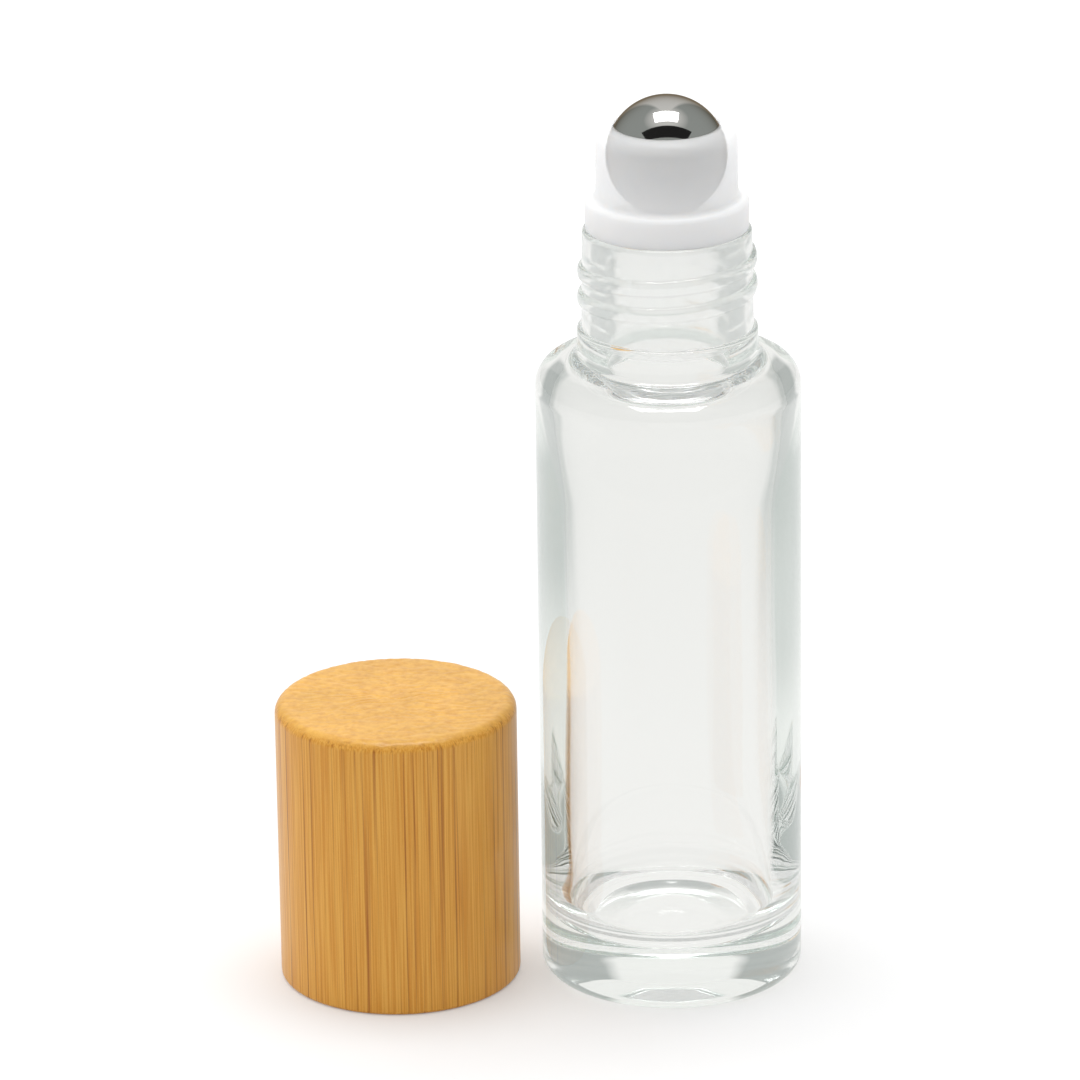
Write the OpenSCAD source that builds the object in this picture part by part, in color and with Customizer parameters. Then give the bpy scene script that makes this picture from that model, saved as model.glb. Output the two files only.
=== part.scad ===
// Roll-on bottle: a thick glass vial with a ball in a snap-in housing.
// Its bamboo cap, with a threaded insert, stands beside it. Millimetres, +Z up.
// The origin is the middle of the circle that the glass stands on.

/* [Glass barrel] */
// Outside diameter of the barrel
barrel_d = 20; // [18:0.5:30]
// Height of the barrel, from the table to the foot of its collar
barrel_h = 49.45; // [35:0.05:80]
// How much the shoulder climbs from the wall to the collar
shoulder_rise = 0.55; // [0:0.05:1]
// Radius of the outside shoulder
shoulder_round = 2; // [1:0.1:2.6]
// Radius of the outside heel
heel_round = 1; // [0.5:0.1:1.8]
// Thickness of the side wall
side_wall = 1.7; // [1.4:0.1:2.4]
// Thickness of the floor at the middle of the bottle
floor_t = 4; // [2.5:0.1:8]
// Radius inside, where the wall meets the floor
floor_round = 3; // [1:0.1:4]
// Thickness of the glass over the inside shoulder
shoulder_t = 1.1; // [0.9:0.05:2]
// Radius of the inside shoulder
inner_shoulder_round = 2.2; // [1:0.1:2.8]
// Depth of the shallow dish under the base
dish_depth = 0.6; // [0.2:0.05:1]
// Width of the ring of glass that the bottle stands on
foot_w = 1.6; // [1:0.1:3]

/* [Glass neck] */
// Outside diameter of the neck at the rim
neck_d = 12.7; // [11.5:0.1:13.4]
// Height of the neck above the foot of its collar
neck_h = 10.1; // [9.6:0.05:13]
// How much the neck's radius grows from the rim to the collar
neck_draft = 0.12; // [0.02:0.01:0.2]
// Diameter of the bore through the neck
bore_d = 9.3; // [8.4:0.1:10.2]
// Radius of the edge where the bore opens into the barrel
bore_flare = 0.55; // [0.2:0.05:0.9]
// Radius of the rim's outer edge
rim_round = 0.4; // [0.1:0.05:0.8]
// How far the collar at the foot of the neck stands out
collar_out = 0.33; // [0.1:0.01:0.5]
// Height of the collar
collar_h = 2.4; // [1.5:0.05:2.5]
// Radius of the collar's top edge
collar_round = 0.3; // [0.1:0.05:0.5]
// Radius of the hollow corner between collar and shoulder
collar_fillet = 1; // [0.3:0.05:1.4]

/* [Screw thread] */
// Climb of the thread in one turn
thread_pitch = 2.05; // [1.6:0.05:2.4]
// Number of turns of the thread on the glass
thread_turns = 2; // [1:0.25:2.5]
// How far the thread stands out from the neck
thread_out = 0.28; // [0.15:0.01:0.5]
// Width of the thread where it leaves the neck
thread_w = 1.25; // [0.8:0.05:1.5]
// Distance from the rim down to the middle of the thread's upper end
thread_drop = 1.85; // [1.2:0.05:2.4]

/* [Roller] */
// Diameter of the steel ball
ball_d = 9; // [8:0.1:9.4]
// Running play between the ball and its socket
ball_play = 0.05; // [0.02:0.01:0.1]
// Thickness of the socket's wall at the ball's middle
socket_wall = 0.72; // [0.5:0.02:1]
// Height of the socket's lowest point above the glass rim
socket_rise = 1; // [0.8:0.05:2]
// Height of the lip above the ball's centre
lip_rise = 2.3; // [1.5:0.1:2.8]
// Width of the flat on top of the lip
lip_flat = 0.06; // [0.02:0.02:0.3]

/* [Roller housing] */
// How far the flange stays inside the edge of the neck
flange_inset = 0.22; // [0:0.02:0.6]
// Height of the flange
flange_h = 2.35; // [1:0.05:3.5]
// Radius of the flange's top edge
flange_round = 0.4; // [0.1:0.05:0.6]
// How much the radius of the dome grows down to the flange
dome_draft = 0.05; // [0:0.01:0.2]
// Radius of the hollow corner between dome and flange
dome_fillet = 0.35; // [0.1:0.05:0.5]
// Length of the plug inside the neck
plug_l = 9; // [6:0.25:10.5]
// Thickness of the plug's wall
plug_wall = 0.9; // [0.6:0.05:1.4]
// Gap all round between the plug and the bore
plug_gap = 0.04; // [0.02:0.01:0.08]
// Radius of the edge at the plug's lower end
plug_round = 0.4; // [0.1:0.05:0.5]
// Diameter of the feed hole under the ball
feed_d = 3; // [1.5:0.1:4]
// Number of feed grooves in the socket's floor
groove_count = 4; // [2:1:6]
// Width of a feed groove
groove_w = 0.7; // [0.4:0.05:1]
// Depth of a feed groove below the socket's floor
groove_deep = 0.35; // [0.1:0.05:0.5]
// Length of a feed groove, from the middle of the socket
groove_l = 2.6; // [2.2:0.1:3]

/* [Cap insert] */
// Gap between the thread on the glass and the bore of the insert
thread_gap = 0.15; // [0.05:0.01:0.3]
// Gap between the collar and the plain mouth of the insert
mouth_gap = 0.3; // [0.1:0.05:0.5]
// Length of the plain mouth
mouth_l = 1.6; // [1:0.1:2.4]
// Thickness of the insert's wall at the plain mouth
insert_wall = 0.6; // [0.4:0.05:1]
// Thickness of the insert's top
insert_top = 0.9; // [0.6:0.05:1.6]
// Radius inside, where the insert's wall meets its top
insert_round = 0.5; // [0.2:0.05:1]
// How far the insert lies inside the foot of the cap
insert_recess = 0.3; // [0.1:0.05:0.6]
// Headroom over the ball when the cap is on
ball_headroom = 0.4; // [0.2:0.05:1]
// Inside diameter of the ring that presses on the ball
press_ring_d = 6.2; // [5:0.1:7]
// Thickness of the press ring
press_ring_wall = 0.7; // [0.5:0.05:1]
// Gap left between press ring and ball when the cap is on
press_gap = 0.05; // [0.02:0.01:0.1]

/* [Bamboo cap] */
// Thickness of the bamboo round the insert
bamboo_wall = 1.5; // [1:0.05:3]
// Thickness of the bamboo over the insert
bamboo_top = 2.17; // [1.5:0.01:5]
// Radius of the cap's top edge
cap_round = 0.9; // [0.2:0.05:1.4]
// Radius of the cap's bottom edge
cap_foot_round = 0.35; // [0.1:0.05:0.6]
// Gap for glue between bamboo and insert
glue_gap = 0.04; // [0.02:0.01:0.1]
// Gap between the foot of the cap and the shoulder when the cap is on
cap_seat_gap = 1.35; // [0.5:0.05:2]
// Gap between the cap and the barrel as they stand side by side
stand_gap = 1.73; // [1:0.01:15]

/* [Hidden] */
$fn = 128;
// How far a cut runs past the face that it cuts
overrun = 0.2;
// Depth that a thread's root is sunk into its wall
thread_root = 0.35;
// Depth that a thread's two ends dive below their wall
thread_dive = 0.06;
// Share of a turn over which each end of the thread fades
thread_fade_share = 0.18;
// Share of the glass thread's turns that the insert's thread has
insert_thread_share = 0.75;
// Steps in one turn of a thread, and steps across its rounded side
thread_steps = 36;
thread_sides = 6;

// Glass
barrel_r = barrel_d / 2;
cavity_r = barrel_r - side_wall;
cavity_top_z = barrel_h - shoulder_t;
rim_z = barrel_h + neck_h;
bore_r = bore_d / 2;
neck_top_r = neck_d / 2;
neck_foot_r = neck_top_r + neck_draft;
collar_r = neck_foot_r + collar_out;
shoulder_tilt = atan2(shoulder_rise, barrel_r - collar_r);
shoulder_edge_z = barrel_h - shoulder_rise;
shoulder_arc_z = shoulder_edge_z - shoulder_round * tan((90 - shoulder_tilt) / 2);
web_arc_z = barrel_h + collar_fillet * (1 - sin(shoulder_tilt)) / cos(shoulder_tilt);
inner_shoulder_r = min(inner_shoulder_round, cavity_r - bore_r - bore_flare);
dish_r = barrel_r - heel_round - foot_w;
dish_sphere_r = (dish_r ^ 2 + dish_depth ^ 2) / (2 * dish_depth);
thread_top_z = rim_z - thread_drop;

// Roller
ball_r = ball_d / 2;
socket_r = ball_r + ball_play;
ball_z = rim_z + socket_rise + socket_r;
lip_z = ball_z + lip_rise;
lip_r = sqrt(socket_r ^ 2 - lip_rise ^ 2);
dome_r = socket_r + socket_wall;
dome_foot_r = dome_r + dome_draft;
dome_round = dome_r - lip_r - lip_flat;
flange_r = neck_top_r - flange_inset;
flange_z = rim_z + flange_h;
plug_r = bore_r - plug_gap;
plug_bore_r = plug_r - plug_wall;
plug_z = rim_z - plug_l;
feed_r = feed_d / 2;
socket_floor_z = rim_z + socket_rise;

// Cap, whose own height starts at the table
on_z = barrel_h + cap_seat_gap;
insert_bore_r = neck_foot_r + thread_out + thread_gap;
mouth_r = collar_r + mouth_gap;
insert_r = mouth_r + insert_wall;
ceiling_z = ball_z + ball_r + ball_headroom - on_z;
insert_top_z = ceiling_z + insert_top;
press_ring_r = press_ring_d / 2;
press_ring_z = ball_z + sqrt(ball_r ^ 2 - press_ring_r ^ 2) + press_gap - on_z;
insert_thread_out = thread_out + thread_gap / 2;
insert_thread_z = thread_top_z - thread_pitch / 2 - on_z;
hollow_r = insert_r + glue_gap;
cap_r = hollow_r + bamboo_wall;
cap_h = insert_top_z + bamboo_top;
cap_away = barrel_r + stand_gap + cap_r;
cap_y = cap_r - barrel_r;
cap_x = -sqrt(cap_away ^ 2 - cap_y ^ 2);

// Radius of the tapering neck at a height
function neck_r_at(z) = neck_top_r + neck_draft * (rim_z - z) / (neck_h - collar_h);

// From 0 at a thread's end to 1 where it is at its full height
function thread_fade(turn, turns) = sin(90 * min(1, min(turn, turns - turn) / thread_fade_share));

// A point on a thread's rounded side: out is 1 on a neck and -1 in a bore
function thread_point(wall_r, out, proud, top_z, turn, turns, tilt) =
    let (fade = thread_fade(turn, turns))
    let (rise = proud * fade - thread_dive * (1 - fade))
    let (r = wall_r + out * ((rise + thread_root) * cos(tilt) - thread_root))
    let (turned = 90 - 360 * turn)
    let (z = top_z - thread_pitch * turn + thread_w / 2 * sin(tilt))
    [r * cos(turned), r * sin(turned), z];

// A thread winds down the neck, or the insert's bore, as one bead whose ends dive into the wall
module thread_bead(out, proud, top_z, turns) {
    rings = round(turns * thread_steps);
    across = thread_sides + 1;
    points = [
        for (i = [0:rings])
            let (turn = turns * i / rings)
            let (middle_z = top_z - thread_pitch * turn)
            let (wall_r = out > 0 ? neck_r_at(middle_z) : insert_bore_r)
            for (j = [0:thread_sides])
                let (tilt = out * (180 * j / thread_sides - 90))
                thread_point(wall_r, out, proud, top_z, turn, turns, tilt)
    ];
    sides = [
        for (i = [0:rings - 1])
            for (j = [0:across - 1])
                let (a = i * across + j)
                let (b = i * across + (j + 1) % across)
                for (face = [[a, b + across, b], [a, a + across, b + across]])
                    face
    ];
    last = rings * across;
    start = [for (j = [1:across - 2]) [0, j, j + 1]];
    end = [for (j = [1:across - 2]) [last, last + j + 1, last + j]];
    polyhedron(points, concat(sides, start, end), convexity = 10);
}

// Half of a round outline that spans heights low to high, with its outer corners rounded
module rounded_half(r, low, high, low_round, high_round) {
    difference() {
        translate([0, low]) square([r, high - low]);
        translate([r - low_round, low]) corner_cut(low_round);
        translate([r - high_round, high]) mirror([0, 1]) corner_cut(high_round);
    }
}

// What rounding takes from a corner that points down and out
module corner_cut(round_r) {
    difference() {
        translate([0, -overrun]) square([round_r + overrun, round_r + overrun]);
        translate([0, round_r]) circle(round_r);
    }
}

// The web that fills a hollow corner, which opens up and out
module corner_web(round_r) {
    difference() {
        translate([-overrun, -overrun]) square([round_r + overrun, round_r + overrun]);
        translate([round_r, round_r]) circle(round_r);
    }
}

// The shoulder climbs from its rounded edge to the collar
module shoulder_outline() {
    translate([barrel_r - shoulder_round, shoulder_arc_z]) circle(shoulder_round);
    polygon([
        [0, shoulder_arc_z - overrun],
        [barrel_r, shoulder_arc_z - overrun],
        [barrel_r, shoulder_arc_z],
        [
            barrel_r - shoulder_round * (1 - sin(shoulder_tilt)),
            shoulder_arc_z + shoulder_round * cos(shoulder_tilt),
        ],
        [collar_r, barrel_h],
        [0, barrel_h],
    ]);
}

// The web that fills the hollow corner between the shoulder and the collar
module collar_web() {
    difference() {
        polygon([
            [collar_r - overrun, barrel_h - overrun],
            [collar_r - overrun, web_arc_z],
            [collar_r + collar_fillet, web_arc_z],
            [
                collar_r + collar_fillet * (1 - sin(shoulder_tilt)),
                web_arc_z - collar_fillet * cos(shoulder_tilt),
            ],
        ]);
        translate([collar_r + collar_fillet, web_arc_z]) circle(collar_fillet);
    }
}

module glass_outline() {
    rounded_half(barrel_r, 0, shoulder_arc_z, heel_round, 0);
    shoulder_outline();
    rounded_half(collar_r, barrel_h - overrun, barrel_h + collar_h, 0, collar_round);
    collar_web();
    rounded_half(neck_top_r, barrel_h, rim_z, 0, rim_round);
    polygon([
        [0, barrel_h],
        [neck_foot_r, barrel_h],
        [neck_foot_r, barrel_h + collar_h],
        [neck_top_r, rim_z - rim_round],
        [0, rim_z - rim_round],
    ]);
}

module glass_hollow() {
    rounded_half(cavity_r, floor_t, cavity_top_z, floor_round, inner_shoulder_r);
    translate([0, cavity_top_z - bore_flare]) square([bore_r, rim_z + overrun - cavity_top_z + bore_flare]);
    translate([bore_r, cavity_top_z]) corner_web(bore_flare);
}

module glass_bottle() {
    color([0.86, 0.9, 0.89, 0.35])
    union() {
        rotate_extrude()
        difference() {
            glass_outline();
            glass_hollow();
            translate([0, dish_depth - dish_sphere_r]) circle(dish_sphere_r);
        }
        thread_bead(1, thread_out, thread_top_z, thread_turns);
    }
}

module housing_outline() {
    rounded_half(plug_r, plug_z, rim_z + flange_h, plug_round, 0);
    rounded_half(flange_r, rim_z, flange_z, 0, flange_round);
    rounded_half(dome_r, flange_z, lip_z, 0, dome_round);
    polygon([
        [0, flange_z],
        [dome_foot_r, flange_z],
        [dome_r, lip_z - dome_round],
        [0, lip_z - dome_round],
    ]);
    translate([dome_foot_r, flange_z]) corner_web(dome_fillet);
}

module roller_housing() {
    color([0.94, 0.94, 0.93])
    difference() {
        rotate_extrude() housing_outline();
        translate([0, 0, ball_z]) sphere(socket_r);
        translate([0, 0, plug_z - overrun]) cylinder(r = plug_bore_r, h = plug_l + overrun);
        translate([0, 0, plug_z]) cylinder(r = feed_r, h = ball_z - plug_z);
        for (i = [0:groove_count - 1])
            rotate([0, 0, 360 * i / groove_count])
                translate([0, -groove_w / 2, socket_floor_z - groove_deep])
                    cube([groove_l, groove_w, ball_r]);
    }
}

module roller_ball() {
    color([0.72, 0.72, 0.72])
    translate([0, 0, ball_z]) sphere(ball_r);
}

// The cap stands beside the barrel, with its front in line with the barrel's front
module stand_cap() {
    translate([cap_x, cap_y, 0]) children();
}

module bamboo_cap() {
    color([0.83, 0.62, 0.32])
    stand_cap()
    difference() {
        rotate_extrude() rounded_half(cap_r, 0, cap_h, cap_foot_round, cap_round);
        translate([0, 0, -overrun]) cylinder(r = hollow_r, h = insert_top_z + overrun);
    }
}

module cap_insert() {
    color([0.95, 0.95, 0.94])
    stand_cap()
    union() {
        difference() {
            translate([0, 0, insert_recess]) cylinder(r = insert_r, h = insert_top_z - insert_recess);
            rotate_extrude() rounded_half(insert_bore_r, 0, ceiling_z, 0, insert_round);
            cylinder(r = mouth_r, h = mouth_l);
        }
        translate([0, 0, press_ring_z])
        difference() {
            cylinder(r = press_ring_r + press_ring_wall, h = ceiling_z + overrun - press_ring_z);
            translate([0, 0, -overrun]) cylinder(r = press_ring_r, h = insert_top_z);
        }
        thread_bead(-1, insert_thread_out, insert_thread_z, thread_turns * insert_thread_share);
    }
}

glass_bottle();
roller_housing();
roller_ball();
bamboo_cap();
cap_insert();
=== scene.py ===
import math

import bmesh
import bpy
from mathutils import Matrix, Vector, noise


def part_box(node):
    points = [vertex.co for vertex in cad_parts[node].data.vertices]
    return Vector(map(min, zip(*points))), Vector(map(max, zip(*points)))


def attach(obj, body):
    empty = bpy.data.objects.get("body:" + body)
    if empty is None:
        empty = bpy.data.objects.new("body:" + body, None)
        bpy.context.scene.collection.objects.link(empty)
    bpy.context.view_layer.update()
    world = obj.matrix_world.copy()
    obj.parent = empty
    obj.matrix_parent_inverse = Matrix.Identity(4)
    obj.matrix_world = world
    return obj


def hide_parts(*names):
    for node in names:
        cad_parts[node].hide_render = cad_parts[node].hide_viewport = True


# %% [markdown]
# # A glass roll-on bottle and its bamboo cap
#
# The object is a small clear vial with a steel ball in a milky fitment, and a turned bamboo cap that
# stands beside it. The construction model already holds every piece at its real size. This lesson
# gives each piece its finished skin: soft corners, a thread melted into the glass, walls that are a
# little uneven because they were blown, fibres in the bamboo.
#
# Everything is measured in millimetres here and turned into Blender's metres when a mesh is made.

# %% Load the construction model
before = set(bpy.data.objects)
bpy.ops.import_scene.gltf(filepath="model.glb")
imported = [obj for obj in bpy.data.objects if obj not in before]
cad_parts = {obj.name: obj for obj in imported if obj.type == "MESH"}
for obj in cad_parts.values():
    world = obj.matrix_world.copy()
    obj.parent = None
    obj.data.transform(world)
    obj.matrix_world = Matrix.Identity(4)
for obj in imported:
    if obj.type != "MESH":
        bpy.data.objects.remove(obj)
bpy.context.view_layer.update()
MM = 0.001
HAIR = 0.01  # millimetres: what lies closer than this counts as the same place


def extent(node):
    """Lowest and highest corner of a construction piece, in millimetres."""
    low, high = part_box(node)
    return low / MM, high / MM


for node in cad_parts:
    print(node, [round(side, 2) for side in extent(node)[1] - extent(node)[0]], "mm")

# %% [markdown]
# ## Colours
#
# Colours are easiest to judge as the sRGB hex values that a paint program shows. Blender calculates
# with linear light, so one function turns the first into the second.


# %% Colour from a hex value
def srgb(code):
    """Linear red, green, blue and alpha from a hex colour such as #C89040."""
    shares = [int(code[i : i + 2], 16) / 255 for i in (1, 3, 5)]
    return [s / 12.92 if s <= 0.04045 else ((s + 0.055) / 1.055) ** 2.4 for s in shares] + [1.0]


print("mid grey is", round(srgb("#808080")[0], 3), "in linear light")

# %% [markdown]
# ## Nodes
#
# A material is a small graph. One function is enough to grow it: it adds a node, sets the node's own
# settings, and fills its inputs. An input that is given a node or a socket is linked, and any other
# value is typed in.


# %% Add one node
def add(tree, kind, inputs=None, **settings):
    """A new shader node with its settings, and its inputs linked or filled."""
    made = tree.nodes.new("ShaderNode" + kind)
    for name, value in settings.items():
        setattr(made, name, value)
    for name, value in (inputs or {}).items():
        source = value.outputs[0] if isinstance(value, bpy.types.Node) else value
        if isinstance(source, bpy.types.NodeSocket):
            tree.links.new(source, made.inputs[name])
        else:
            made.inputs[name].default_value = source
    return made


def empty_material(name):
    """A material with an empty graph, and the graph."""
    made = bpy.data.materials.new(name)
    made.use_nodes = True
    made.node_tree.nodes.clear()
    return made, made.node_tree


print("nodes are added and linked by one function")

# %% [markdown]
# ## The view
#
# The picture looks down on the bottle from a little above, through a long lens that keeps the sides
# nearly parallel. The camera's place and tilt were worked out from the ellipses of the rim and base.

# %% Camera
CAMERA_AT = Vector((-9.77, -481.61, 213.86))
LOOKS_DOWN = math.radians(20.4)
LEANS = math.radians(-0.8)
LENS = 226.4
SENSOR = 36.0

camera_data = bpy.data.cameras.new("camera")
camera_data.lens = LENS
camera_data.sensor_width = SENSOR
camera = bpy.data.objects.new("camera", camera_data)
camera.matrix_world = (
    Matrix.Translation(CAMERA_AT * MM)
    @ Matrix.Rotation(math.radians(90) - LOOKS_DOWN, 4, "X")
    @ Matrix.Rotation(LEANS, 4, "Z")
)
bpy.context.scene.collection.objects.link(camera)
bpy.context.scene.camera = camera
bpy.context.scene.view_settings.view_transform = "Standard"
print("camera is", round(CAMERA_AT.length), "mm from the bottle's foot")

# %% [markdown]
# ## Room to travel
#
# A look through the bottle crosses up to a dozen glass surfaces. At its edges, light is trapped in the
# thick wall and runs round inside it many times before it gets out. A path that is cut off there comes
# out black, so the paths are allowed to be long.

# %% Light bounces
BOUNCES = 40
cycles = bpy.context.scene.cycles
cycles.max_bounces = BOUNCES
cycles.transmission_bounces = BOUNCES
cycles.glossy_bounces = BOUNCES
cycles.transparent_max_bounces = BOUNCES
print("up to", BOUNCES, "bounces")

# %% [markdown]
# ## The white surroundings
#
# The bottle stands on white paper in white surroundings. Glass and steel have no colour of their own:
# they show what is round them. So what the camera, a mirror or the glass sees of the surroundings is
# set apart from how strongly they light the object. To the camera, white is a strength of 1.
#
# Clear glass on pure white would vanish. Photographers of glass keep the white narrow, so that the
# bent edges of the glass look past it into the grey of the room and are drawn by it. Here glass and
# mirrors see white straight overhead and in a strip at the back, and a grey-green room elsewhere.
# The light that falls on dull surfaces is stronger from the back and the left than from the front.


# %% World
def even(level):
    """A neutral colour of the given linear brightness."""
    return [level, level, level, 1.0]


def mixed(tree, share, first, second, **settings):
    """A colour between two others: the first at a share of 0 and the second at 1."""
    return add(tree, "MixRGB", {"Fac": share, "Color1": first, "Color2": second}, **settings)


def calculated(tree, operation, first, second):
    """The result of a calculation with two numbers."""
    return add(tree, "Math", {0: first, 1: second}, operation=operation).outputs[0]


def ramp(tree, value, low, high, result=(0.0, 1.0), **settings):
    """A number that goes from result[0] to result[1] while the value goes from low to high."""
    limits = {"From Min": low, "From Max": high, "To Min": result[0], "To Max": result[1]}
    return add(tree, "MapRange", {"Value": value, **limits}, **settings).outputs[0]


def backward(tree, direction):
    """How far a direction points to the back: 1 straight back, 0 sideways, -1 to the front."""
    length_one = add(tree, "VectorMath", {0: direction}, operation="NORMALIZE")
    return add(tree, "SeparateXYZ", {0: length_one}).outputs["Y"]


LIGHT_FROM_ROOM = 0.9
LIGHT_SLOPE = (-0.15, 0.35, 0.0)
WHITE_THROUGH_GLASS = "#F2F2EF"
ROOM_THROUGH_GLASS = "#AEB3B0"
ROOM_ENDS, WHITE_BEGINS = math.sin(math.radians(55)), math.sin(math.radians(75))
WINDOW_ENDS, WINDOW_BEGINS = math.cos(math.radians(24)), math.cos(math.radians(18))
HALF_A_BOUNCE = 0.5


def seen_by(tree, to_camera, to_mirror, to_glass, to_others):
    """A colour by who looks. The others are dull surfaces, so theirs is what lights the object."""
    path = add(tree, "LightPath")
    shown = to_others
    for ray, colour in (("Glossy", to_mirror), ("Transmission", to_glass), ("Camera", to_camera)):
        shown = mixed(tree, path.outputs[f"Is {ray} Ray"], shown, colour)
    lights_up = calculated(tree, "GREATER_THAN", path.outputs["Diffuse Depth"], HALF_A_BOUNCE)
    return mixed(tree, lights_up, shown, to_others)


world = bpy.data.worlds.new("white surroundings")
world.use_nodes = True
tree = world.node_tree
tree.nodes.clear()
towards = add(tree, "TexCoord").outputs["Generated"]
upward = add(tree, "SeparateXYZ", {0: towards}).outputs["Z"]
overhead = ramp(tree, upward, ROOM_ENDS, WHITE_BEGINS)
flat = add(tree, "VectorMath", {0: towards, 1: (1.0, 1.0, 0.0)}, operation="MULTIPLY")
behind = ramp(tree, backward(tree, flat), WINDOW_ENDS, WINDOW_BEGINS)
white_share = calculated(tree, "MAXIMUM", overhead, behind)
room = mixed(tree, white_share, srgb(ROOM_THROUGH_GLASS), srgb(WHITE_THROUGH_GLASS))
slope = add(tree, "VectorMath", {0: towards, 1: LIGHT_SLOPE}, operation="DOT_PRODUCT")
light = calculated(tree, "ADD", slope.outputs["Value"], LIGHT_FROM_ROOM)
colour = seen_by(tree, even(1.0), room, room, light)
add(tree, "OutputWorld", {"Surface": add(tree, "Background", {"Color": colour})})
bpy.context.scene.world = world
print("room lights dull surfaces at", LIGHT_FROM_ROOM)

# %% [markdown]
# The floor is a wide sheet of white paper. It keeps the object's soft shadow, because most of what the
# camera sees of it is plain diffuse paper. The rest is a little glow, weak round the object, where it
# would wash out the shadow, and stronger further out, where the open paper has to come out white.
# Through the glass the paper is white near the bottle and in a strip that runs to the back, and
# grey-green further out.

# %% Floor
FLOOR_HALF = 1500.0
PAPER = "#E0E0E0"
PAPER_GLOW_NEAR, PAPER_GLOW_FAR = 0.20, 0.34
GLOW_NEAR_R, GLOW_FAR_R = 25.0, 120.0
PAPER_GLOW_IN_MIRROR = 0.16
FAR_THROUGH_GLASS = "#C5C9C6"
NEAR_R, FAR_R = 35.0, 100.0
WHITE_MIDDLE = Vector((0.0, 20.0, 0.0))


def flat_sheet(name, corners):
    """A sheet with the given corners, in millimetres, that is no part of the object."""
    mesh = bpy.data.meshes.new(name)
    mesh.from_pydata([Vector(corner) * MM for corner in corners], [], [range(len(corners))])
    sheet = bpy.data.objects.new(name, mesh)
    bpy.context.scene.collection.objects.link(sheet)
    return sheet


def smooth_step(tree, value, low, high):
    """From 0 below low to 1 above high, both in millimetres, with soft ends."""
    return ramp(tree, value, low * MM, high * MM, interpolation_type="SMOOTHSTEP")


paper, tree = empty_material("white paper")
spot = add(tree, "NewGeometry").outputs["Position"]
away = add(tree, "VectorMath", {0: spot, 1: WHITE_MIDDLE * MM}, operation="DISTANCE")
away = away.outputs["Value"]
far = smooth_step(tree, away, NEAR_R, FAR_R)
beside = ramp(tree, backward(tree, spot), WINDOW_BEGINS, WINDOW_ENDS)
grey_share = calculated(tree, "MULTIPLY", far, beside)
through = mixed(tree, grey_share, srgb(WHITE_THROUGH_GLASS), srgb(FAR_THROUGH_GLASS))
further = smooth_step(tree, away, GLOW_NEAR_R, GLOW_FAR_R)
open_paper = mixed(tree, further, even(PAPER_GLOW_NEAR), even(PAPER_GLOW_FAR))
glow = seen_by(tree, open_paper, even(PAPER_GLOW_IN_MIRROR), even(0.0), even(0.0))
glow = add(tree, "Emission", {"Color": glow})
matt = add(tree, "AddShader", {0: add(tree, "BsdfDiffuse", {"Color": srgb(PAPER)}), 1: glow})
path = add(tree, "LightPath")
first = calculated(tree, "LESS_THAN", path.outputs["Diffuse Depth"], HALF_A_BOUNCE)
by_glass = calculated(tree, "MULTIPLY", path.outputs["Is Transmission Ray"], first)
both = add(tree, "MixShader", {0: by_glass, 1: matt, 2: add(tree, "Emission", {"Color": through})})
add(tree, "OutputMaterial", {"Surface": both})
floor = flat_sheet(
    "paper_floor",
    [(x * FLOOR_HALF, y * FLOOR_HALF, 0) for x, y in ((-1, -1), (1, -1), (1, 1), (-1, 1))],
)
floor.data.materials.append(paper)
print("floor is", 2 * FLOOR_HALF / 1000, "m wide")

# %% [markdown]
# ## Lamp and card
#
# One softbox hangs above, a little behind the bottle. Its mirror image is the white patch on the ball
# and the thin bright lines on the glass. A dark card hangs in front of it at the same height. It
# throws no shadow, gives no light and isn't seen through the glass: only a mirror shows it, and it
# draws the dark band that tells the eye that the ball is steel.

# %% Softbox
SOFTBOX_AT = Vector((0.0, 35.0, 465.0))
SOFTBOX_SIZE = (260.0, 170.0)
SOFTBOX_POWER = 0.75

softbox_data = bpy.data.lights.new("softbox", "AREA")
softbox_data.shape = "RECTANGLE"
softbox_data.size = SOFTBOX_SIZE[0] * MM
softbox_data.size_y = SOFTBOX_SIZE[1] * MM
softbox_data.energy = SOFTBOX_POWER
softbox = bpy.data.objects.new("softbox", softbox_data)
softbox.location = SOFTBOX_AT * MM
bpy.context.scene.collection.objects.link(softbox)
print("softbox hangs", round(SOFTBOX_AT.z), "mm up")

# %% Dark card
CARD_HALF, CARD_FRONT_Y, CARD_BACK_Y, CARD_Z = 400, -350, -122, 466.0
CARD_SHADE = "#2A2A2A"

skin, tree = empty_material("dark_ceiling_card")
add(tree, "OutputMaterial", {"Surface": add(tree, "Emission", {"Color": srgb(CARD_SHADE)})})
card = flat_sheet(
    "dark_ceiling_card",
    [
        (-CARD_HALF, CARD_FRONT_Y, CARD_Z),
        (CARD_HALF, CARD_FRONT_Y, CARD_Z),
        (CARD_HALF, CARD_BACK_Y, CARD_Z),
        (-CARD_HALF, CARD_BACK_Y, CARD_Z),
    ],
)
card.data.materials.append(skin)
for ray in ("camera", "diffuse", "shadow", "volume_scatter", "transmission"):
    setattr(card, "visible_" + ray, False)
print("the card is", 2 * CARD_HALF, "mm wide, and only mirrors see it")

# %% [markdown]
# ## Turned shapes
#
# Every piece of the bottle is round. Its outline is a short list of corners, each with the radius
# that rounds it. The outline is then turned about the axis into rings of points. Long straight runs
# get extra rings, so that a wall can also be pressed a little out of true.

# %% Outline with rounded corners
ARC_STEP = math.radians(9)


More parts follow.
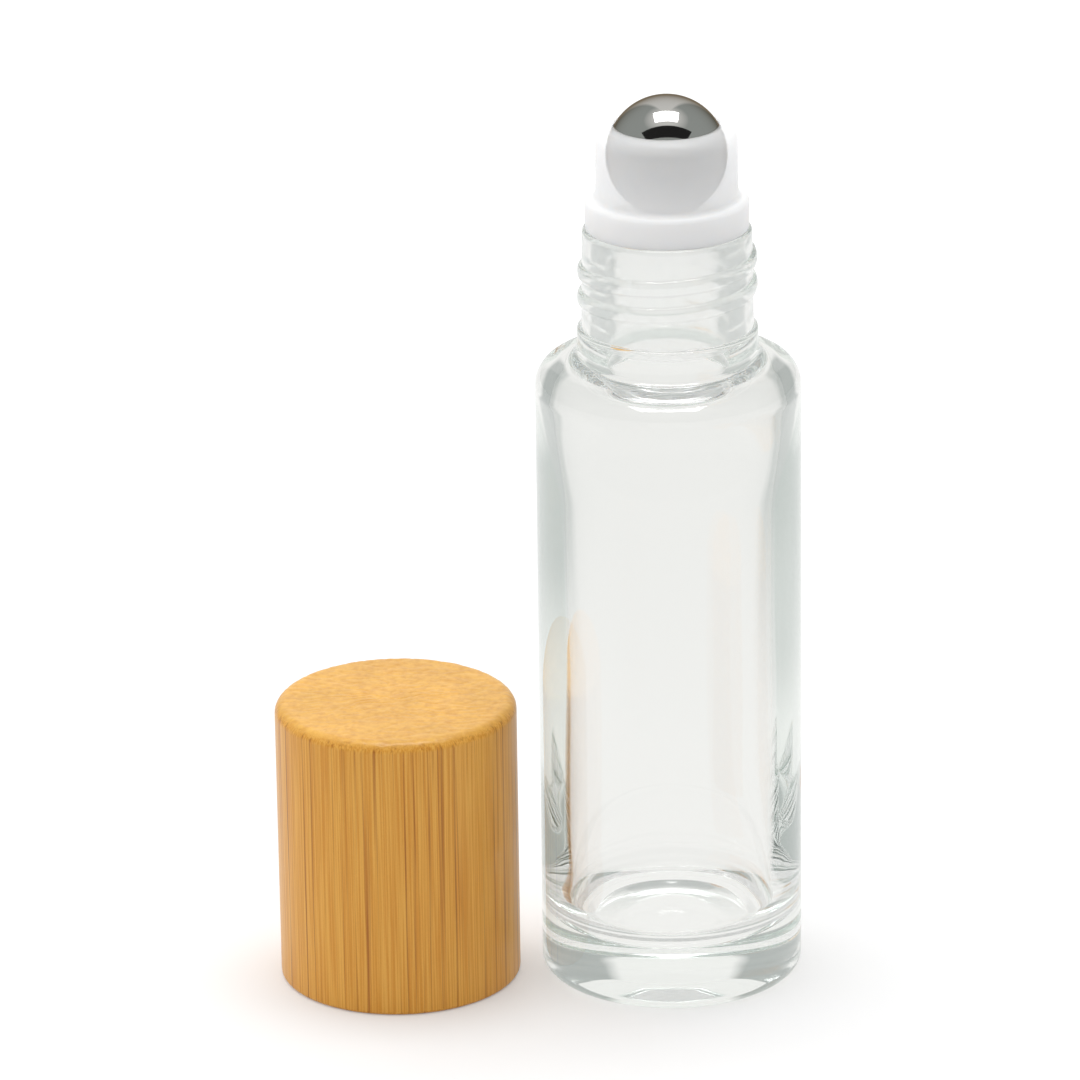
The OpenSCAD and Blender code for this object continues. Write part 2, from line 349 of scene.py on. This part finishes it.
def outline(corners, closed=False):
    """Points (r, z) of an outline given as corners (r, z, rounding), with each rounding as an arc."""
    count = len(corners)
    points = []
    for i, (r, z, rounding) in enumerate(corners):
        corner = Vector((r, z))
        if rounding <= 0 or (not closed and i in (0, count - 1)):
            points.append(corner)
            continue
        back = (Vector(corners[i - 1][:2]) - corner).normalized()
        ahead = (Vector(corners[(i + 1) % count][:2]) - corner).normalized()
        half = back.angle(ahead) / 2
        middle = corner + (back + ahead).normalized() * rounding / math.sin(half)
        start = (corner + back * rounding / math.tan(half) - middle).normalized()
        end = (corner + ahead * rounding / math.tan(half) - middle).normalized()
        steps = max(2, math.ceil((math.pi - 2 * half) / ARC_STEP))
        points += [middle + start.slerp(end, step / steps) * rounding for step in range(steps + 1)]
    return points


def finer(points, spacing):
    """The same outline with extra points, so that none are further apart than spacing(r, z)."""
    out = [points[0]]
    for start, end in zip(points, points[1:]):
        steps = max(1, math.ceil((end - start).length / spacing(*((start + end) / 2))))
        out += [start.lerp(end, step / steps) for step in range(1, steps + 1)]
    return out


# %% Turn an outline
SIDES = 192
ON_AXIS = 1e-6


def turned(name, points, closed=False, pressed=None, sides=SIDES, at=(0.0, 0.0)):
    """An object turned from outline points. pressed(r, z, angle) may move a point off the round."""
    mesh = bmesh.new()
    rings = []
    for r, z in points:
        if r < ON_AXIS:
            rings.append([mesh.verts.new((0, 0, z * MM))] * sides)
            continue
        ring = []
        for side in range(sides):
            angle = math.tau * side / sides
            out, up = pressed(r, z, angle) if pressed else (r, z)
            ring.append(mesh.verts.new(Vector((out * math.cos(angle), out * math.sin(angle), up)) * MM))
        rings.append(ring)
    pairs = zip(rings, rings[1:] + rings[:1]) if closed else zip(rings, rings[1:])
    for low, high in pairs:
        for side in range(sides):
            after = (side + 1) % sides
            corners = dict.fromkeys((low[side], low[after], high[after], high[side]))
            mesh.faces.new(corners).smooth = True
    bmesh.ops.recalc_face_normals(mesh, faces=mesh.faces)
    data = bpy.data.meshes.new(name)
    mesh.to_mesh(data)
    mesh.free()
    made = bpy.data.objects.new(name, data)
    made.location = Vector((*at, 0)) * MM
    bpy.context.scene.collection.objects.link(made)
    print(name, "has", len(data.polygons), "faces")
    return made


# %% [markdown]
# ## The thread
#
# The thread is a low round bead that winds two turns down the neck. It is pressed in the mould and
# stands on the wall as half an ellipse: round at its crest and steep at both feet, where it mirrors
# the lamp as a thin bright line. It starts at the back and sinks into the wall at both ends.

# %% Thread bead
THREAD_PITCH = 2.05
THREAD_TURNS = 2.0
THREAD_FADE = 0.18


def bead(angle, z, top_z, turns, out, width):
    """How far the bead stands out of the wall at this angle and height."""
    lap = (0.25 - angle / math.tau) % 1.0
    best = 0.0
    for turn in (lap + k for k in range(math.ceil(turns) + 1)):
        off = (z - top_z + THREAD_PITCH * turn) / (width / 2)
        if turn > turns or abs(off) >= 1:
            continue
        fade = math.sin(math.pi / 2 * min(1.0, min(turn, turns - turn) / THREAD_FADE))
        best = max(best, out * fade * math.sqrt(1 - off * off))
    return best


print("the bead winds", THREAD_TURNS, "turns,", THREAD_PITCH, "mm apart")

# %% [markdown]
# ## The glass
#
# The vial is thick and clear. Its outside comes from a mould and is true, but its inside was blown: no
# tool touched it, so the wall is thicker on one side and wanders slightly. That unevenness is what
# makes real glass look like glass, because the edges of the bore bend and waver. Outside and inside
# are one closed skin, so that light enters the glass and leaves it where the real walls are.

# %% Glass outline
glass_low, glass_high = extent("glass_bottle")
BARREL_R = glass_high.x
RIM_Z = glass_high.z
SHOULDER_EDGE_Z, SHOULDER_ROUND = 48.9, 2.0
HEEL_ROUND = 1.0
NECK_TOP_R, NECK_FOOT_R = 6.35, 6.47
COLLAR_R, COLLAR_FOOT_Z, COLLAR_TOP_Z = 6.8, 49.45, 51.85
COLLAR_ROUND, COLLAR_FILLET = 0.3, 1.0
COLLAR_STEP_ROUND = 0.12
RIM_ROUND, RIM_INNER_ROUND = 0.4, 0.15
BORE_R = 4.65
CAVITY_R, CAVITY_TOP_Z, CAVITY_SHOULDER = 8.5, 47.9, 1.5
CAVITY_SLOPE = 0.2
BORE_FLARE = 0.8
FLOOR_Z, FLOOR_ROUND = 4.0, 3.0
FOOT_W, DISH_DEPTH = 1.6, 0.6
DISH_R = BARREL_R - HEEL_ROUND - FOOT_W
DISH_ROUND, DISH_EDGE_ROUND = 8, 0.5
FLOOR_CROWN = 0.25

glass_corners = [
    (0, DISH_DEPTH, 0),
    (DISH_R * 0.5, DISH_DEPTH * 0.75, DISH_ROUND),
    (DISH_R, 0, DISH_EDGE_ROUND),
    (BARREL_R, 0, HEEL_ROUND),
    (BARREL_R, SHOULDER_EDGE_Z, SHOULDER_ROUND),
    (COLLAR_R, COLLAR_FOOT_Z, COLLAR_FILLET),
    (COLLAR_R, COLLAR_TOP_Z, COLLAR_ROUND),
    (NECK_FOOT_R, COLLAR_TOP_Z, COLLAR_STEP_ROUND),
    (NECK_TOP_R, RIM_Z, RIM_ROUND),
    (BORE_R, RIM_Z, RIM_INNER_ROUND),
    (BORE_R, CAVITY_TOP_Z, BORE_FLARE),
    (CAVITY_R, CAVITY_TOP_Z - CAVITY_SLOPE, CAVITY_SHOULDER),
    (CAVITY_R, FLOOR_Z, FLOOR_ROUND),
    (0, FLOOR_Z + FLOOR_CROWN, 0),
]
print("walls are", BARREL_R - CAVITY_R, "mm thick")

# %% Glass skin
THREAD_TOP_Z = 57.7
THREAD_OUT = 0.34
THREAD_WIDTH = 1.25
THREAD_ROW = 0.07
WALL_ROW = 0.8
DRIFT = Vector((0.0, -1.0))
DRIFT_TOP_Z, DRIFT_FULL_Z, DRIFT_LOW_Z = 46.0, 40.0, 12.0
THICKER = 0.3
RIPPLE = 0.06
RIPPLE_LONG = 14.0


def is_neck(r, z):
    """Whether a place is on the outside of the neck."""
    return r > NECK_TOP_R - 0.1 and z > COLLAR_TOP_Z


def row_spacing(r, z):
    """Rows are close on the neck, which carries the thread."""
    return THREAD_ROW if is_neck(r, z) else WALL_ROW


def blown(r, z, angle):
    """Adds the thread outside, and inside the drift and ripple of a wall that no tool touched."""
    if is_neck(r, z):
        return r + bead(angle, z, THREAD_TOP_Z, THREAD_TURNS, THREAD_OUT, THREAD_WIDTH), z
    inside = r <= CAVITY_R + HAIR and FLOOR_Z < z < DRIFT_TOP_Z
    if not inside:
        return r, z
    from_top = (DRIFT_TOP_Z - z) / (DRIFT_TOP_Z - DRIFT_FULL_Z)
    from_floor = (z - FLOOR_Z) / (DRIFT_LOW_Z - FLOOR_Z)
    share = min(1.0, from_top, from_floor)
    share *= share * (3 - 2 * share)
    towards = Vector((math.cos(angle), math.sin(angle)))
    ripple = noise.noise(Vector((*towards, z / RIPPLE_LONG)))
    return r + r / CAVITY_R * (share * (DRIFT.dot(towards) - THICKER) + RIPPLE * ripple), z


glass = turned("blown_glass", finer(outline(glass_corners), row_spacing), pressed=blown)

# %% [markdown]
# Soda-lime glass is what nearly all bottles are made of. It bends light by 1.52, is fire-polished and
# so perfectly smooth, and a trace of iron tints long paths through it green. Thin walls look clear
# and only the edges, where the eye looks along the wall, turn grey-green. That tint belongs in the
# volume. Lamps shine straight through, because tracing light that glass bends would take far longer.

# %% Soda-lime glass
GLASS_IOR = 1.52
GLASS_SHADE = "#F0F0EE"
GLASS_TINT = "#30D0A0"
GLASS_TINT_PER_M = 1.5


def soda_lime_glass():
    made, tree = empty_material("soda_lime_glass")
    surface = add(
        tree,
        "BsdfPrincipled",
        {"Base Color": srgb("#FFFFFF"), "Roughness": 0.0, "IOR": GLASS_IOR, "Transmission Weight": 1.0},
    )
    lamp_ray = add(tree, "LightPath").outputs["Is Shadow Ray"]
    lit = add(tree, "BsdfTransparent", {"Color": srgb(GLASS_SHADE)})
    both = add(tree, "MixShader", {0: lamp_ray, 1: surface, 2: lit})
    tint = add(tree, "VolumeAbsorption", {"Color": srgb(GLASS_TINT), "Density": GLASS_TINT_PER_M})
    add(tree, "OutputMaterial", {"Surface": both, "Volume": tint})
    return made


glass.data.materials.append(soda_lime_glass())
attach(glass, "bottle")
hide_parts("glass_bottle")
print("glass bends light by", GLASS_IOR)

# %% [markdown]
# ## The roller housing
#
# The fitment is one moulding: a plug that seals in the neck, a flange on the rim, and a dome that
# holds the ball. Its outline runs round the outside and back through the socket, and is closed.

# %% Housing outline
ball_low, ball_high = extent("roller_ball")
BALL_R = (ball_high.x - ball_low.x) / 2
BALL_Z = (ball_high.z + ball_low.z) / 2
housing_low, housing_high = extent("roller_housing")
PLUG_Z = housing_low.z
LIP_Z = housing_high.z
FLANGE_R = housing_high.x
SOCKET_R = BALL_R + 0.05
SOCKET_ARC = 16
FLANGE_Z, FLANGE_ROUND = 61.9, 0.4
DOME_R, DOME_FOOT_R, DOME_FILLET, DOME_ROUND = 5.27, 5.32, 0.35, 1.18
PLUG_R, PLUG_BORE_R, PLUG_ROUND, PLUG_MOUTH_ROUND = 4.66, 3.71, 0.4, 0.2
SEAT_ROUND = 0.1
SOCKET_FLOOR_Z = BALL_Z - SOCKET_R
FEED_R, FEED_TOP_Z, FEED_ROUND = 1.5, SOCKET_FLOOR_Z - 0.3, 0.2
WEB_LOW_Z, WEB_ROUND = SOCKET_FLOOR_Z - 0.9, 0.3

socket_low = -math.acos(FEED_R / SOCKET_R)
socket_high = math.asin((LIP_Z - BALL_Z) / SOCKET_R)
socket = [
    (SOCKET_R * math.cos(tilt), BALL_Z + SOCKET_R * math.sin(tilt), 0)
    for tilt in (
        socket_high + (socket_low - socket_high) * step / SOCKET_ARC for step in range(SOCKET_ARC + 1)
    )
]
housing_corners = [
    (PLUG_BORE_R, PLUG_Z, PLUG_MOUTH_ROUND),
    (PLUG_R, PLUG_Z, PLUG_ROUND),
    (PLUG_R, RIM_Z, SEAT_ROUND),
    (FLANGE_R, RIM_Z, SEAT_ROUND),
    (FLANGE_R, FLANGE_Z, FLANGE_ROUND),
    (DOME_FOOT_R, FLANGE_Z, DOME_FILLET),
    (DOME_R, LIP_Z, DOME_ROUND),
    *socket,
    (FEED_R, FEED_TOP_Z, 0),
    (FEED_R, WEB_LOW_Z, FEED_ROUND),
    (PLUG_BORE_R, WEB_LOW_Z, WEB_ROUND),
]
print("ball of", round(2 * BALL_R, 2), "mm sits in a socket of", round(2 * SOCKET_R, 2), "mm")

# %% Housing skin
GROOVES = 4
GROOVE_HALF = 0.35
GROOVE_DEEP = 0.35
GROOVE_REACH = 2.6


def grooved(r, z, angle):
    """Sinks the four feed grooves into the socket's floor, where the oil runs under the ball."""
    on_floor = FEED_R - HAIR <= r <= GROOVE_REACH and SOCKET_FLOOR_Z - FEED_ROUND < z < BALL_Z
    quarter = math.tau / GROOVES
    across = r * math.sin((angle + quarter / 2) % quarter - quarter / 2)
    if not on_floor or abs(across) > GROOVE_HALF:
        return r, z
    return r, z - GROOVE_DEEP * math.cos(math.pi / 2 * across / GROOVE_HALF)


housing = turned(
    "milky_housing", outline(housing_corners, closed=True), closed=True, pressed=grooved
)

# %% [markdown]
# Natural low-density polyethylene is a waxy, milky plastic: light sinks in about a millimetre,
# scatters and comes out softened, and a dark thing close behind a thin wall shows through. So the
# shader scatters under the surface and also lets part of a look straight through, and the ball's
# lower half appears as a grey cup. The dome's wall is thinnest near the lip, so it hides least there.
#
# In the neck the plug is pressed against the glass and is lit through it from all sides. There it is
# drawn as thin milk with a painted glow: a translucent and a diffuse shade are added on top of its
# scattering body, so it shines brighter than the light that reaches it. Where it is seen bare, because
# the fitment was pulled out, it is as solid as the flange.

# %% Milky polyethylene
MILK = "#F6F7F7"
MILK_LOOK_THROUGH = "#FFFFFF"
MILK_SOLID_SHARES = (0.97, 0.62)
MILK_THINS_BELOW, MILK_THINS_ABOVE = 3.6, 2.3
MILK_IN_NECK = 0.26
MILK_DEPTH = 1.2
MOULD_GRAIN = 0.25


def mottle(tree, place, size, **inputs):
    """Noise whose spots are about as large as the given size in millimetres."""
    return add(tree, "TexNoise", {"Vector": place, "Scale": 1 / (size * MM), **inputs})


def milky_polyethylene():
    made, tree = empty_material("milky_polyethylene")
    place = add(tree, "TexCoord").outputs["Object"]
    grain = mottle(tree, place, MOULD_GRAIN, Detail=3.0)
    bump = add(tree, "Bump", {"Height": grain, "Strength": 0.06, "Distance": 0.02 * MM})
    body = add(
        tree,
        "BsdfPrincipled",
        {
            "Base Color": srgb(MILK),
            "Roughness": 0.38,
            "IOR": 1.51,
            "Subsurface Weight": 1.0,
            "Subsurface Radius": (1.0, 0.95, 0.9),
            "Subsurface Scale": MILK_DEPTH * MM,
            "Normal": bump,
        },
    )
    through = add(tree, "BsdfTransparent", {"Color": srgb(MILK_LOOK_THROUGH)})
    height = add(tree, "SeparateXYZ", {0: place}).outputs["Z"]
    low, high = (BALL_Z - MILK_THINS_BELOW) * MM, (BALL_Z + MILK_THINS_ABOVE) * MM
    wall = ramp(tree, height, low, high, MILK_SOLID_SHARES)
    below_rim = calculated(tree, "LESS_THAN", height, RIM_Z * MM)
    seen_bare = add(tree, "LightPath").outputs["Is Camera Ray"]
    in_glass = calculated(tree, "SUBTRACT", 1.0, seen_bare)
    in_neck = calculated(tree, "MULTIPLY", below_rim, in_glass)
    thick = mixed(tree, in_neck, wall, even(MILK_IN_NECK))
    back_face = add(tree, "NewGeometry").outputs["Backfacing"]
    solid = calculated(tree, "MULTIPLY", thick, calculated(tree, "SUBTRACT", 1.0, back_face))
    # Painted glow for the plug in the neck: translucent and diffuse shading added together, brighter
    # than its light
    lit_from_behind = add(tree, "BsdfTranslucent", {"Color": srgb(MILK)})
    lit_from_front = add(tree, "BsdfDiffuse", {"Color": srgb(MILK)})
    painted_glow = add(tree, "AddShader", {0: lit_from_behind, 1: lit_from_front})
    plug = add(tree, "MixShader", {0: 0.5, 1: painted_glow, 2: body})
    milk = add(tree, "MixShader", {0: in_neck, 1: body, 2: plug})
    both = add(tree, "MixShader", {0: solid, 1: through, 2: milk})
    add(tree, "OutputMaterial", {"Surface": both})
    return made


housing.data.materials.append(milky_polyethylene())
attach(housing, "fitment")
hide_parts("roller_housing")
print("light sinks", MILK_DEPTH, "mm into the plastic")

# %% [markdown]
# ## The ball
#
# The ball is polished stainless steel. Turning a fine half circle gives it even rings of points, which
# a mirror needs: a coarse ball would show its facets in the reflections.

# %% Ball skin
BALL_RINGS = 96
half_circle = [
    Vector((BALL_R * math.sin(tilt), BALL_Z - BALL_R * math.cos(tilt)))
    for tilt in (math.pi * step / BALL_RINGS for step in range(BALL_RINGS + 1))
]
ball = turned("steel_ball", half_circle)

# %% [markdown]
# Stainless steel sends back a bit more than half of the light, almost without colour. At a glancing
# look its reflection is made darker and brown: a painted brown reflection at the ball's rim. Lapping
# leaves hair-fine scratches: they are far too fine to see one by one, so they are drawn as a faint
# change of roughness.

# %% Polished steel
STEEL = "#C4C3C1"
# Painted brown reflection: tints what the ball mirrors at a glancing look
STEEL_BROWN_RIM_TINT = "#8F8270"
STEEL_ROUGH = (0.03, 0.08)
LAPPING = 0.4


def polished_steel():
    made, tree = empty_material("polished_stainless_steel")
    place = add(tree, "TexCoord").outputs["Object"]
    haze = mottle(tree, place, LAPPING, Detail=4.0)
    rough = ramp(tree, haze, 0.0, 1.0, STEEL_ROUGH)
    colours = {"Base Color": srgb(STEEL), "Specular Tint": srgb(STEEL_BROWN_RIM_TINT)}
    body = add(tree, "BsdfPrincipled", {**colours, "Metallic": 1.0, "Roughness": rough})
    add(tree, "OutputMaterial", {"Surface": body})
    return made


ball.data.materials.append(polished_steel())
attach(ball, "ball")
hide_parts("roller_ball")
print("roughness is", STEEL_ROUGH[0], "to", STEEL_ROUGH[1])

# %% [markdown]
# ## The bamboo cap
#
# The cap is turned from solid bamboo with the fibres upright. Its side shows them as fine streaks, and
# its top is cut across them. The knife tears the fibre ends a little, so the top is crinkled and its
# rim slightly ragged. The top gets rings close enough together to carry that in the mesh.

# %% Cap outline
cap_low, cap_high = extent("bamboo_cap")
CAP_AT = ((cap_low.x + cap_high.x) / 2, (cap_low.y + cap_high.y) / 2)
CAP_R = (cap_high.x - cap_low.x) / 2
CAP_H = cap_high.z
CAP_ROUND, CAP_FOOT_ROUND = 0.9, 0.35
HOLLOW_FOOT_ROUND, HOLLOW_TOP_ROUND = 0.15, 0.1
insert_low, insert_high = extent("cap_insert")
INSERT_R = (insert_high.x - insert_low.x) / 2
INSERT_TOP_Z = insert_high.z
HOLLOW_R = INSERT_R + 0.04
TOP_SPACING = 0.16
SIDE_SPACING = 1.2
EDGE_SPACING = 0.1
CAP_SIDES = 320

cap_corners = [
    (0, CAP_H, 0),
    (CAP_R, CAP_H, CAP_ROUND),
    (CAP_R, 0, CAP_FOOT_ROUND),
    (HOLLOW_R, 0, HOLLOW_FOOT_ROUND),
    (HOLLOW_R, INSERT_TOP_Z, HOLLOW_TOP_ROUND),
    (0, INSERT_TOP_Z, 0),
]
print("cap is", round(2 * CAP_R, 2), "mm wide and", round(CAP_H, 2), "mm high")

# %% Cap skin
WRINKLE = 0.9
WRINKLE_DEEP = 0.05
WRINKLE_SQUEEZE = (0.55, 1.25)
WRINKLE_WANDER = 0.9
WRINKLE_SHARP = 3
FIBRE = 0.5
FIBRE_DEEP = 0.012
FIBRE_RUN = 40


def cap_spacing(r, z):
    """Rows are closest on the top and round its edge, which carry the creases."""
    if z > CAP_H - HAIR:
        return TOP_SPACING
    on_edge = z > CAP_H - 1.5 * CAP_ROUND and r > HOLLOW_R + 0.1
    return EDGE_SPACING if on_edge else SIDE_SPACING


def wrinkles(x, y, z):
    """Short wavy creases of the torn fibre ends, from 0 on the skin to -1 in a crease."""
    wander = noise.noise_vector(Vector((x, y, z)) / (2 * WRINKLE)) * WRINKLE_WANDER
    squeezed = Vector((x * WRINKLE_SQUEEZE[0], y * WRINKLE_SQUEEZE[1], z)) / WRINKLE
    return -((1 - min(1.0, abs(noise.noise(squeezed + wander)) * WRINKLE_SHARP)) ** 2)


def cut_bamboo(r, z, angle):
    """Presses the top's creases and the side's fibres into the round cap, never outwards."""
    if r < HOLLOW_R + 0.2 and z < CAP_H - HAIR:
        return r, z
    x, y = r * math.cos(angle), r * math.sin(angle)
    top = max(0.0, min(1.0, (z - CAP_H + 1.2 * CAP_ROUND) / CAP_ROUND))
    fibre = noise.noise(Vector((x, y, z / FIBRE_RUN)) / FIBRE)
    r -= (1 - top) * FIBRE_DEEP * (1 + fibre)
    return r, z + top * WRINKLE_DEEP * wrinkles(x, y, z)


cap_points = finer(outline(cap_corners), cap_spacing)
cap = turned("turned_bamboo", cap_points, pressed=cut_bamboo, sides=CAP_SIDES, at=CAP_AT)

# %% [markdown]
# Bamboo is bundles of dark fibre in pale golden pith, a few to the millimetre near the skin of the
# cane. Noise in three dimensions that is stretched more than a hundredfold along the fibres gives
# streaks that run the whole height of the side, as in the real blank. A second, finer layer is the
# grain between the bundles. The top is cut across the fibres: it is a fine mottle of torn ends under
# slow clouds of lighter and darker wood, with a darker tone in patches of the noise that raises its
# relief. Every face that points up gets the top's paler colour: partly the lighter end grain, partly
# a painted sheen of the lamp above. The thin matt lacquer gives a soft sheen.

# %% Bamboo
BUNDLE = 0.42
THREADS = 0.11
FIBRE_LONG = 110.0
BAMBOO_PALE = "#EDB04B"
BAMBOO_MIDDLE = "#DA932C"
BAMBOO_DARK = "#AF6814"
# Paler end grain of the top, with a painted sheen of the lamp above mixed in
BAMBOO_END_GRAIN_AND_SHEEN = "#ECB554"
# Darker tone of the top's patches
BAMBOO_TOP_DARKER = "#D6983F"
GRAIN = 0.12
TOP_PATCH = 0.5
TOP_CLOUD = 5.0
DARK_FIBRES = (0.54, 0.67)
PALE_THREADS = (0.4, 0.6)
DARKER_PATCHES = (0.35, 0.8)
CLOUD_RANGE, CLOUD_SHADES = (0.35, 0.65), (1.04, 0.93)
GRAIN_SHADES = (0.93, 1.05)
TOP_SLOPE = (0.45, 0.9)
LACQUER_SHINE = 0.45


def bamboo():
    made, tree = empty_material("turned_bamboo")
    place = add(tree, "TexCoord").outputs["Object"]
    along = add(tree, "Mapping", {"Vector": place, "Scale": (1.0, 1.0, 1 / FIBRE_LONG)})
    bundles = mottle(tree, along, BUNDLE, Detail=3.0, Roughness=0.6)
    threads = mottle(tree, along, THREADS, Detail=2.0)
    pale_share = ramp(tree, threads, *PALE_THREADS)
    side = mixed(tree, pale_share, srgb(BAMBOO_MIDDLE), srgb(BAMBOO_PALE))
    side = mixed(tree, ramp(tree, bundles, *DARK_FIBRES), side, srgb(BAMBOO_DARK))
    speckle = ramp(tree, mottle(tree, place, GRAIN, Detail=2.0), 0.0, 1.0, GRAIN_SHADES)
    side = mixed(tree, 1.0, side, speckle, blend_type="MULTIPLY")
    patches = mottle(tree, place, TOP_PATCH, Detail=6.0, Distortion=0.2)
    # A darker tone in the top's patches, from the same noise that raises its relief
    darker_share = ramp(tree, patches, *DARKER_PATCHES)
    top = mixed(tree, darker_share, srgb(BAMBOO_END_GRAIN_AND_SHEEN), srgb(BAMBOO_TOP_DARKER))
    clouds = ramp(tree, mottle(tree, place, TOP_CLOUD, Detail=2.0), *CLOUD_RANGE, CLOUD_SHADES)
    top = mixed(tree, 1.0, top, clouds, blend_type="MULTIPLY")
    # Faces that point up in the world get the top's colour with its painted sheen, and the top's relief
    up = add(tree, "SeparateXYZ", {0: add(tree, "NewGeometry").outputs["Normal"]}).outputs["Z"]
    faces_up = ramp(tree, up, *TOP_SLOPE)
    relief = mixed(tree, faces_up, calculated(tree, "ADD", bundles, threads), patches)
    bump = add(tree, "Bump", {"Height": relief, "Strength": 0.3, "Distance": 0.05 * MM})
    body = add(
        tree,
        "BsdfPrincipled",
        {
            "Base Color": mixed(tree, faces_up, side, top),
            "Roughness": 0.33,
            "IOR": 1.5,
            "Specular IOR Level": LACQUER_SHINE,
            "Normal": bump,
        },
    )
    add(tree, "OutputMaterial", {"Surface": body})
    return made


cap.data.materials.append(bamboo())
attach(cap, "cap")
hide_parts("bamboo_cap")
print("bundles are", BUNDLE, "mm apart")

# %% [markdown]
# ## The threaded insert
#
# Inside the bamboo sits a white moulded cup with the thread that grips the glass, and a ring that
# presses the ball onto its seat when the cap is on. It shows only when the cap is lifted and seen
# from below, but it is a real piece and gets the same care.

# %% Insert outline
INSERT_BORE_R, MOUTH_R, MOUTH_L = 6.9, 7.1, 1.6
INSERT_FOOT_Z = insert_low.z
CEILING_Z_IN_CAP = INSERT_TOP_Z - 0.9
RING_R, RING_WALL, RING_Z = 3.1, 0.7, 17.61
INSERT_THREAD_TOP_Z = 5.875
INSERT_THREAD_OUT = 0.355
INSERT_THREAD_TURNS = 1.5
INSERT_THREAD_WIDTH = 1.5
INSERT_ROW, PLAIN_ROW = 0.1, 2.0
INSERT_ROUND, CRISP, RING_ROUND, CEILING_ROUND, STEP_ROUND = 0.3, 0.1, 0.2, 0.5, 0.05

insert_corners = [
    (0, INSERT_TOP_Z, 0),
    (INSERT_R, INSERT_TOP_Z, INSERT_ROUND),
    (INSERT_R, INSERT_FOOT_Z, CRISP),
    (MOUTH_R, INSERT_FOOT_Z, CRISP),
    (MOUTH_R, MOUTH_L, STEP_ROUND),
    (INSERT_BORE_R, MOUTH_L, STEP_ROUND),
    (INSERT_BORE_R, CEILING_Z_IN_CAP, CEILING_ROUND),
    (RING_R + RING_WALL, CEILING_Z_IN_CAP, RING_ROUND),
    (RING_R + RING_WALL, RING_Z, RING_ROUND),
    (RING_R, RING_Z, RING_ROUND),
    (RING_R, CEILING_Z_IN_CAP, RING_ROUND),
    (0, CEILING_Z_IN_CAP, 0),
]
print("the insert's bore is", 2 * INSERT_BORE_R, "mm wide")


# %% Insert skin
def in_thread(r, z):
    """Whether a place is on the part of the bore that carries the thread."""
    below_top = INSERT_THREAD_TOP_Z + INSERT_THREAD_WIDTH / 2 - z
    reach = THREAD_PITCH * INSERT_THREAD_TURNS + INSERT_THREAD_WIDTH
    return abs(r - INSERT_BORE_R) < HAIR and 0 < below_top < reach


def insert_spacing(r, z):
    """Rows are close where the thread is."""
    return INSERT_ROW if in_thread(r, z) else PLAIN_ROW


def threaded(r, z, angle):
    """Raises the insert's thread into its bore."""
    if not in_thread(r, z):
        return r, z
    form = (INSERT_THREAD_TOP_Z, INSERT_THREAD_TURNS, INSERT_THREAD_OUT, INSERT_THREAD_WIDTH)
    return r - bead(angle, z, *form), z


insert_points = finer(outline(insert_corners), insert_spacing)
insert = turned("threaded_insert", insert_points, pressed=threaded, at=CAP_AT)

# %% [markdown]
# The insert is moulded polypropylene, white and satin: the mould's fine spark-eroded texture breaks
# up the shine.

# %% White polypropylene
PLASTIC_WHITE = "#EEEEEC"
PLASTIC_ROUGH = (0.35, 0.45)
SPARK_GRAIN = 0.12


def white_polypropylene():
    made, tree = empty_material("white_polypropylene")
    place = add(tree, "TexCoord").outputs["Object"]
    spark = mottle(tree, place, SPARK_GRAIN, Detail=2.0)
    bump = add(tree, "Bump", {"Height": spark, "Strength": 0.1, "Distance": 0.02 * MM})
    rough = ramp(tree, spark, 0.0, 1.0, PLASTIC_ROUGH)
    look = {"Base Color": srgb(PLASTIC_WHITE), "Roughness": rough, "IOR": 1.49, "Normal": bump}
    body = add(tree, "BsdfPrincipled", look)
    add(tree, "OutputMaterial", {"Surface": body})
    return made


insert.data.materials.append(white_polypropylene())
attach(insert, "cap")
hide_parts("cap_insert")
print("spark grain is", SPARK_GRAIN, "mm")
